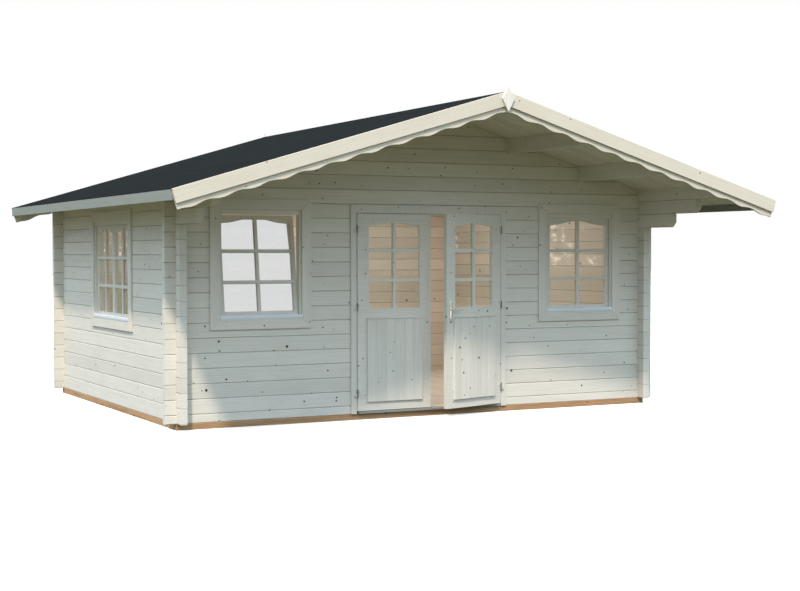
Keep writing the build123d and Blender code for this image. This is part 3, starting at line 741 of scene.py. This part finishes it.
def roofSheet(name, near, far, top, thickness, lowY, highY):
    # a flat sheet turned to the slope, its ends cut plumb; `near` and `far` are plan distances
    cosine, sine = math.cos(cabin["pitch"]), math.sin(cabin["pitch"])
    run = (far - near) / cosine
    piece = block(name, (-roofing["spare"], lowY, -thickness), (run + roofing["spare"], highY, 0))
    anchor = Vector((near, 0, cabin["ridge"] - near * sine / cosine - top / cosine))
    turned(piece, Matrix.Translation(anchor) @ Matrix.Rotation(cabin["pitch"], 4, "Y"))
    for cut, normal in ((near, (-1, 0, 0)), (far, (1, 0, 0))):
        pick(piece)
        bpy.ops.object.mode_set(mode="EDIT")
        bpy.ops.mesh.select_all(action="SELECT")
        bpy.ops.mesh.bisect(plane_co=(cut, 0, 0), plane_no=normal, use_fill=True, clear_outer=True)
        bpy.ops.object.mode_set(mode="OBJECT")
    return piece


def otherSide(piece):                          # mirrored to the left slope, with its faces turned back
    piece.scale.x = -1
    settle(piece)
    bpy.ops.object.mode_set(mode="EDIT")
    bpy.ops.mesh.select_all(action="SELECT")
    bpy.ops.mesh.flip_normals()
    bpy.ops.object.mode_set(mode="OBJECT")
    return piece


def makeRoofBoards(side, end):
    low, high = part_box(f"roof_boards_{end}")
    far = max(abs(low.x), abs(high.x))
    count = round((high.y - low.y) / roofing["board"])
    width = (high.y - low.y) / count
    first = roofSheet("roofPlank", 0, far, felt["thickness"], roofing["thickness"],
                      low.y + hair, low.y + width - hair)
    chooseEdges(first, lambda a, b: abs(a.y - b.y) < 0.001 and abs(a.x - b.x) > 1
                and all(cabin["ridge"] - p.x * math.tan(cabin["pitch"]) - p.z > 0.015 for p in (a, b)))
    bpy.ops.mesh.bevel(offset=roofing["groove"], segments=1)
    bpy.ops.object.mode_set(mode="OBJECT")
    if side < 0:
        otherSide(first)
    planks = [first]
    for i in range(1, count):
        planks.append(twin(first, (0, i * width, 0)))
    slope = Matrix.Rotation(side * cabin["pitch"], 4, "Y")
    for plank in planks:
        markGrain(plank, 0, slope)
    piece = joined(f"{end}RoofPlanks", planks)
    wear(piece, "roofWood")
    keep(piece, "cabin", f"roof_boards_{end}", slot=painted)


def makeFelt(side, end):
    low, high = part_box(f"roof_felt_{end}")
    edge, number = cabin["roofHalf"], 0
    sheets = [roofSheet("feltBase", 0, edge, felt["thickness"] - felt["base"], felt["base"], low.y, high.y)]
    while edge > 0.3:
        near = max(edge - feltRoll, 0)
        top = -0.0004 - felt["step"] * (number % 2)
        strip = roofSheet(f"feltStrip{number}", near, edge, top, felt["sheet"], low.y, high.y)
        chooseEdges(strip, lambda a, b: min(a.x, b.x) > edge - 0.01 and abs(a.x - b.x) < 0.001)
        bpy.ops.mesh.bevel(offset=0.0006, segments=2)
        bpy.ops.object.mode_set(mode="OBJECT")
        sheets.append(strip)
        edge -= feltStep
        number += 1
    piece = joined(f"{end}RoofFelt", sheets)
    if side < 0:
        otherSide(piece)
    wear(piece, "felt")
    keep(piece, "cabin", f"roof_felt_{end}", slot="roofing_felt")


for side, end in ((-1, "left"), (1, "right")):
    makeRoofBoards(side, end)
    makeFelt(side, end)
print("roof laid")


# Boarded door panels

panel = {
    "boards": 6,
    "groove": 0.0035,
    "thickness": 0.018,
    "half": 0.295,
    "bottom": 0.168,
    "top": 0.960,
    "ledgeHeight": 0.014,
    "ledgeReach": 0.008,
    "weather": 0.004,          # fall of the ledge's top
}


def makePanel(side, end):
    low, high = Vector((-panel["half"], 0, panel["bottom"])), Vector((panel["half"], 0, panel["top"]))
    face = door["leafFace"]
    outer = face - panel["thickness"]
    middle = door["middle"] + side * door["leafMiddle"]
    width = (high.x - low.x) / panel["boards"]
    boards = []
    for i in range(panel["boards"]):
        left = middle + low.x + i * width
        board = block(f"panelBoard{i}", (left, outer, low.z),
                      (left + width, face, high.z - panel["ledgeHeight"]))
        chooseEdges(board, lambda a, b: max(a.y, b.y) < outer + 0.001 and abs(a.z - b.z) > 0.1)
        bpy.ops.mesh.bevel(offset=panel["groove"], segments=1)
        bpy.ops.object.mode_set(mode="OBJECT")
        boards.append(markGrain(board, 2))
    ledge = block("ledge", (middle + low.x, outer - panel["ledgeReach"], high.z - panel["ledgeHeight"]),
                  (middle + high.x, face, high.z))
    for point in ledge.data.vertices:
        if point.co.z > high.z - 0.001 and point.co.y < face - 0.001:
            point.co.z -= panel["weather"]
    soften(ledge, 0.003, 2)
    boards.append(markGrain(ledge, 0))
    piece = joined(f"{end}Panel", boards)
    if side > 0:
        turned(piece, leafTurn)
    wear(piece, "painted")
    keep(piece, f"{end}_leaf", f"door_panel_{end}", slot=painted)


makePanel(-1, "left")
makePanel(1, "right")
print("door panels made")


# Hinges and handle

hinge = {
    "heights": (0.250, 1.060, 1.790),
    "radius": 0.007,
    "pin": 0.004,
    "half": 0.0375,
    "gap": 0.001,
    "plate": 0.032,
    "thickness": 0.003,
    "lowThickness": 0.008,     # the casing's plates stand as far out as the leaf's
    "screw": 0.0032,
    "screwAside": 0.021,
    "screwLevels": (0.27, 0.73),
    "casing": 0.020,           # the casing's face stands this far out of the wall
    "edge": 0.0006,
}


def screws(x, outer, low, high):               # two screw heads on a plate
    heads = []
    for level in hinge["screwLevels"]:
        z = low + (high - low) * level
        head = rod("screw", (x, outer - 0.0005, z), (x, outer + 0.001, z), hinge["screw"], 12)
        soften(head, 0.0004, 1)
        heads.append(head)
    return heads


def makeHinges():
    y = door["hinge"].y
    for side, end in ((-1, "left"), (1, "right")):
        x = door["middle"] + side * door["hingeReach"]
        barrels, plates = [], []
        for height in hinge["heights"]:
            foot, head = height + hinge["gap"], height + hinge["half"]
            barrels.append(rod("knuckle", (x, y, foot), (x, y, head), hinge["radius"], 20))
            outer = door["leafFace"] - hinge["thickness"]
            plates.append(block("knucklePlate", (min(x, x - side * hinge["plate"]), outer, foot),
                                (max(x, x - side * hinge["plate"]), door["leafFace"], head)))
            barrels += screws(x - side * hinge["screwAside"], outer, foot, head)
        for part in barrels + plates:
            soften(part, hinge["edge"], 2)
        plate = joined("leafPlates", plates)
        wear(plate, "hingePaint")
        markGrain(plate, 2)
        barrel = joined("leafBarrels", barrels)
        wear(barrel, "steel")
        piece = joined(f"{end}Knuckles", [barrel, plate])
        if side > 0:
            turned(piece, leafTurn)
        smooth(piece)
        keep(piece, f"{end}_leaf", f"hinge_knuckles_{end}", slot="dark_steel")
    barrels, plates = [], []
    face = -cabin["halfDepth"] - hinge["casing"]
    outer = face - hinge["lowThickness"]
    for side in (-1, 1):
        x = door["middle"] + side * door["hingeReach"]
        for height in hinge["heights"]:
            foot, head = height - hinge["half"], height + hinge["half"]
            barrels.append(rod("lowKnuckle", (x, y, foot), (x, y, height), hinge["radius"], 20))
            barrels.append(rod("pin", (x, y, height - 0.01), (x, y, head), hinge["pin"], 16))
            plates.append(block("lowPlate", (min(x, x + side * hinge["plate"]), outer, foot),
                                (max(x, x + side * hinge["plate"]), face, height)))
            barrels += screws(x + side * hinge["screwAside"], outer, foot, height)
    for part in barrels + plates:
        soften(part, hinge["edge"], 2)
    plate = joined("casingPlates", plates)
    wear(plate, "hingePaint")
    markGrain(plate, 2)
    barrel = joined("casingBarrels", barrels)
    wear(barrel, "steel")
    piece = joined("hingePins", [barrel, plate])
    smooth(piece)
    keep(piece, "cabin", "hinge_pins", slot="dark_steel")


handle = {
    "x": 0.0705,
    "lever": 1.028,
    "key": 0.942,
    "plateLow": 0.899,
    "plateHeight": 0.211,
    "plateWidth": 0.040,
    "plateThickness": 0.003,
    "corner": 0.010,
    "screwInset": 0.012,
    "screw": 0.004,
    "rose": 0.012,
    "keyBarrel": 0.0085,
    "keySlot": (0.0024, 0.011),
    "stand": 0.045,
    "neck": 0.008,
    "grip": 0.0072,
    "gripEnd": 0.009,
    "length": 0.125,
    "cuts": (0.02, 0.07, 0.10),    # where the grip can bend
    "thin": 0.15,
    "droop": 0.003,
    "spindle": 0.0045,
    "leaf": 0.040,
}


def makeHandle():
    x, lever, key = handle["x"], handle["lever"], handle["key"]
    low, high = handle["plateLow"], handle["plateLow"] + handle["plateHeight"]
    faces = ((door["leafFace"], -1), (door["leafFace"] + handle["leaf"], 1))
    plates, dark, levers = [], [], []
    for face, out in faces:
        top = face + out * handle["plateThickness"]
        plate = block("handlePlate", (x - handle["plateWidth"] / 2, min(face, top), low),
                      (x + handle["plateWidth"] / 2, max(face, top), high))
        chooseEdges(plate, lambda a, b: abs(a.y - b.y) > 0.002)
        bpy.ops.mesh.bevel(offset=handle["corner"], segments=5)
        bpy.ops.object.mode_set(mode="OBJECT")
        soften(plate, 0.0009, 2, 50)
        plates.append(plate)
        for z in (low + handle["screwInset"], high - handle["screwInset"]):
            screw = rod("plateScrew", (x, top - out * 0.001, z), (x, top + out * 0.0012, z),
                        handle["screw"], 16)
            soften(screw, 0.0008, 2)
            dark.append(screw)
        rose = rod("leverRose", (x, top - out * 0.001, lever), (x, top + out * 0.004, lever), handle["rose"])
        soften(rose, 0.001, 2)
        plates.append(rose)
        barrel = rod("keyBarrel", (x, top - out * 0.001, key), (x, top + out * 0.005, key),
                     handle["keyBarrel"])
        chooseFaces(barrel, lambda c, n: n.y * out > 0.9)
        bpy.ops.mesh.inset(thickness=0.002, depth=-0.0015)
        bpy.ops.object.mode_set(mode="OBJECT")
        plates.append(barrel)
        # painted shade: a dark block stands in the key slot, where there is only shade
        halfWidth, halfHeight = (side / 2 for side in handle["keySlot"])
        slot = block("keySlot", (x - halfWidth, min(top, top + out * 0.0042), key - halfHeight),
                     (x + halfWidth, max(top, top + out * 0.0042), key + halfHeight))
        dark.append(slot)
        reach = top + out * (handle["stand"] - 0.0075)
        neck = rod("leverNeck", (x, top + out * 0.0005, lever), (x, reach + out * 0.0035, lever),
                   handle["neck"])
        soften(neck, 0.0015, 2)
        end = x + handle["length"] - handle["gripEnd"]
        grip = rod("leverGrip", (x - 0.007, reach, lever), (end, reach, lever), handle["grip"])
        pick(grip)
        bpy.ops.object.mode_set(mode="EDIT")
        for along in handle["cuts"]:
            bpy.ops.mesh.select_all(action="SELECT")
            bpy.ops.mesh.bisect(plane_co=(x + along, 0, 0), plane_no=(1, 0, 0))
        bpy.ops.object.mode_set(mode="OBJECT")
        for point in grip.data.vertices:           # the grip thins and droops a little to its end
            share = max(0, (point.co.x - x - handle["cuts"][0]) / 0.1)
            thinned = (point.co.z - lever) * (1 - handle["thin"] * share)
            point.co.z = lever + thinned - handle["droop"] * share * share
        soften(grip, 0.0028, 3)
        levers += [neck, grip]
    levers.append(rod("spindle", (x, faces[0][0] - 0.004, lever), (x, faces[1][0] + 0.004, lever),
                      handle["spindle"], 16))
    bright = joined("plates", plates)
    wear(bright, "chrome")
    shaded = joined("plateScrewsAndKeyholeShade", dark)
    wear(shaded, "slot")
    plate = joined("handlePlates", [bright, shaded])
    grip = joined("handleLever", levers)
    wear(grip, "chrome")
    for piece, body, node in ((plate, "right_leaf", "handle_plates"), (grip, "lever", "handle_lever")):
        turned(piece, leafTurn)
        smooth(piece, 30)
        keep(piece, body, node, slot="bright_metal")


makeHinges()
makeHandle()
print("hinges and handle made")


# Studio

studio = {
    "floor": colour(244, 244, 243),
    "mottle": colour(248, 248, 247),
    "floorGlow": 0.35,
    "ground": colour(89, 86, 65),              # what the floor throws back at the object
    "sky": (0.745, 0.905, 1.065, 1),
    "horizon": 0.36,                           # strength of the sky at the horizon
    "rise": 1.70,                              # and what it gains with height
    "steep": 2.0,                              # the gain is reached where the height is 1 / steep
    "trees": (0.30, 0.32, 0.27, 1),            # what the metal and the upright panes mirror
    "treeTop": 0.12,
    "mirrored": (0.79, 0.81, 0.83, 1),         # and what they mirror above the trees
    "gaps": (1.0, 0.93, 0.78, 1),              # bright sky between the leaves
    "gapStrength": 6,
    "leafGaps": (310, 2, 0.60, 14),            # size, detail, level and hardness of a pattern
    "boughGaps": (34, 1, 0.50, 12),
    "sun": (1.0, 0.85, 0.735),
    "sunStrength": 3.1,
    "sunSpread": 4,
    "sunFrom": (-0.776, -1.0, 1.59),
    "sunPlace": (-6, -8, 9),
    "card": (1.6, 0.92, 1),                    # a low white card for the door handle's metal
    "cardPlace": (3.70, -4.0, 0.46),
    "cardTurn": 63.4,
    "roomPower": 44,
    "roomHeight": 2.16,
    "roomSize": (4.2, 3.0),
}


def makeStudio():
    pick()
    bpy.ops.mesh.primitive_plane_add(size=160, location=(0, 0, -0.0005))
    ground = bpy.context.object
    ground.name = "studioFloor"
    settle(ground)
    finish = Finish("studioFloor", Roughness=0.9)
    x, y, z = finish.place()
    mottle = finish.noise(finish.point(x, y, z), 3, 2, 0.5)
    finish.feed("Base Color", finish.blend(mottle, studio["floor"], studio["mottle"]))
    rays = finish.add("ShaderNodeLightPath")
    seen = (rays.out("Is Camera Ray") + rays.out("Is Transmission Ray")).clamp()
    lit = finish.add("ShaderNodeEmission", values={"Color": white, "Strength": studio["floorGlow"]})
    pale = Wire(finish.tree, finish.surface.outputs[0])
    glow = finish.add("ShaderNodeAddShader", values={0: pale, 1: lit})
    dim = finish.add("ShaderNodeBsdfDiffuse", values={"Color": studio["ground"]})
    both = finish.add("ShaderNodeMixShader", values={0: seen, 1: dim, 2: glow})
    finish.tree.links.new(both.socket, finish.output.inputs["Surface"])
    ground.data.materials.append(finish.material)

    # seen in reflections alone
    finish = Finish("studioCard")
    glow = finish.add("ShaderNodeEmission", values={"Color": white, "Strength": 1.0})
    finish.tree.links.new(glow.socket, finish.output.inputs["Surface"])
    pick()
    bpy.ops.mesh.primitive_plane_add(size=1)
    card = bpy.context.object
    card.name = "studioCard"
    card.scale = studio["card"]
    card.rotation_euler = (math.radians(90), 0, math.radians(studio["cardTurn"]))
    card.location = studio["cardPlace"]
    settle(card)
    card.data.materials.append(finish.material)
    card.visible_camera = card.visible_diffuse = False
    card.visible_shadow = card.visible_transmission = False

    # plain white behind the object, soft sky on it, and trees with sky above them in its glass
    world = bpy.data.worlds.new("studioSky")
    scene.world = world
    world.use_nodes = True
    tree = world.node_tree
    tree.nodes.clear()

    def light(tint, strength):
        node = tree.nodes.new("ShaderNodeBackground")
        node.inputs["Color"].default_value = tint
        if isinstance(strength, Wire):
            tree.links.new(strength.socket, node.inputs["Strength"])
        else:
            node.inputs["Strength"].default_value = strength
        return Wire(tree, node.outputs[0])

    def either(share, first, second):
        node = tree.nodes.new("ShaderNodeMixShader")
        for socket, wire in zip(node.inputs, (share, first, second)):
            tree.links.new(wire.socket, socket)
        return Wire(tree, node.outputs[0])

    def patches(size, detail, level, hardness):
        node = tree.nodes.new("ShaderNodeTexNoise")
        tree.links.new(sight, node.inputs["Vector"])
        node.inputs["Scale"].default_value, node.inputs["Detail"].default_value = size, detail
        return ((Wire(tree, node.outputs[0]) - level) * hardness).clamp()

    rays = Wire(tree, tree.nodes.new("ShaderNodeLightPath").outputs[0])
    sight = tree.nodes.new("ShaderNodeTexCoord").outputs["Generated"]
    height = tree.nodes.new("ShaderNodeSeparateXYZ")
    tree.links.new(sight, height.inputs[0])
    up = Wire(tree, height.outputs["Z"])
    gaps = patches(*studio["leafGaps"]) * patches(*studio["boughGaps"])
    leaves = either(gaps, light(studio["trees"], 1), light(studio["gaps"], studio["gapStrength"]))
    aboveTrees = ((up - studio["treeTop"]) * 14 + 0.5).clamp()
    mirrored = either(aboveTrees, leaves, light(studio["mirrored"], 1))
    sky = light(studio["sky"], (up * studio["steep"]).clamp() * studio["rise"] + studio["horizon"])
    lit = either(rays.out("Is Glossy Ray"), sky, mirrored)
    seen = (rays.out("Is Camera Ray") + rays.out("Is Transmission Ray")).clamp()
    output = tree.nodes.new("ShaderNodeOutputWorld")
    tree.links.new(either(seen, lit, light(white, 1)).socket, output.inputs["Surface"])

    pick()
    bpy.ops.object.light_add(type="SUN", location=studio["sunPlace"])
    sun = bpy.context.object
    sun.data.energy, sun.data.color = studio["sunStrength"], studio["sun"]
    sun.data.angle = math.radians(studio["sunSpread"])
    sun.rotation_mode = "QUATERNION"
    sun.rotation_quaternion = Vector(studio["sunFrom"]).to_track_quat("Z", "Y")

    pick()
    bpy.ops.object.light_add(type="AREA", location=(0, 0, studio["roomHeight"]))
    room = bpy.context.object
    room.data.shape = "RECTANGLE"
    room.data.size, room.data.size_y = studio["roomSize"]
    room.data.energy = studio["roomPower"]
    room.visible_camera = room.visible_glossy = False


camera = {
    "place": (-6.664, -14.221, 1.577),
    "yaw": 27.408,
    "pitch": 1.726,
    "roll": -0.072,
    "lens": 65.29,
}


def makeCamera():
    pick()
    bpy.ops.object.camera_add(location=camera["place"])
    viewer = bpy.context.object
    viewer.data.sensor_width = 36
    viewer.data.lens = camera["lens"]
    yaw, pitch, roll = (math.radians(camera[turn]) for turn in ("yaw", "pitch", "roll"))
    forward = Vector((math.sin(yaw) * math.cos(pitch), math.cos(yaw) * math.cos(pitch), -math.sin(pitch)))
    lean = Matrix.Rotation(roll, 3, "Z").to_quaternion()
    viewer.rotation_mode = "QUATERNION"
    viewer.rotation_quaternion = forward.to_track_quat("-Z", "Y") @ lean
    scene.camera = viewer


makeStudio()
makeCamera()
scene.view_settings.view_transform = "Standard"
print("studio set")
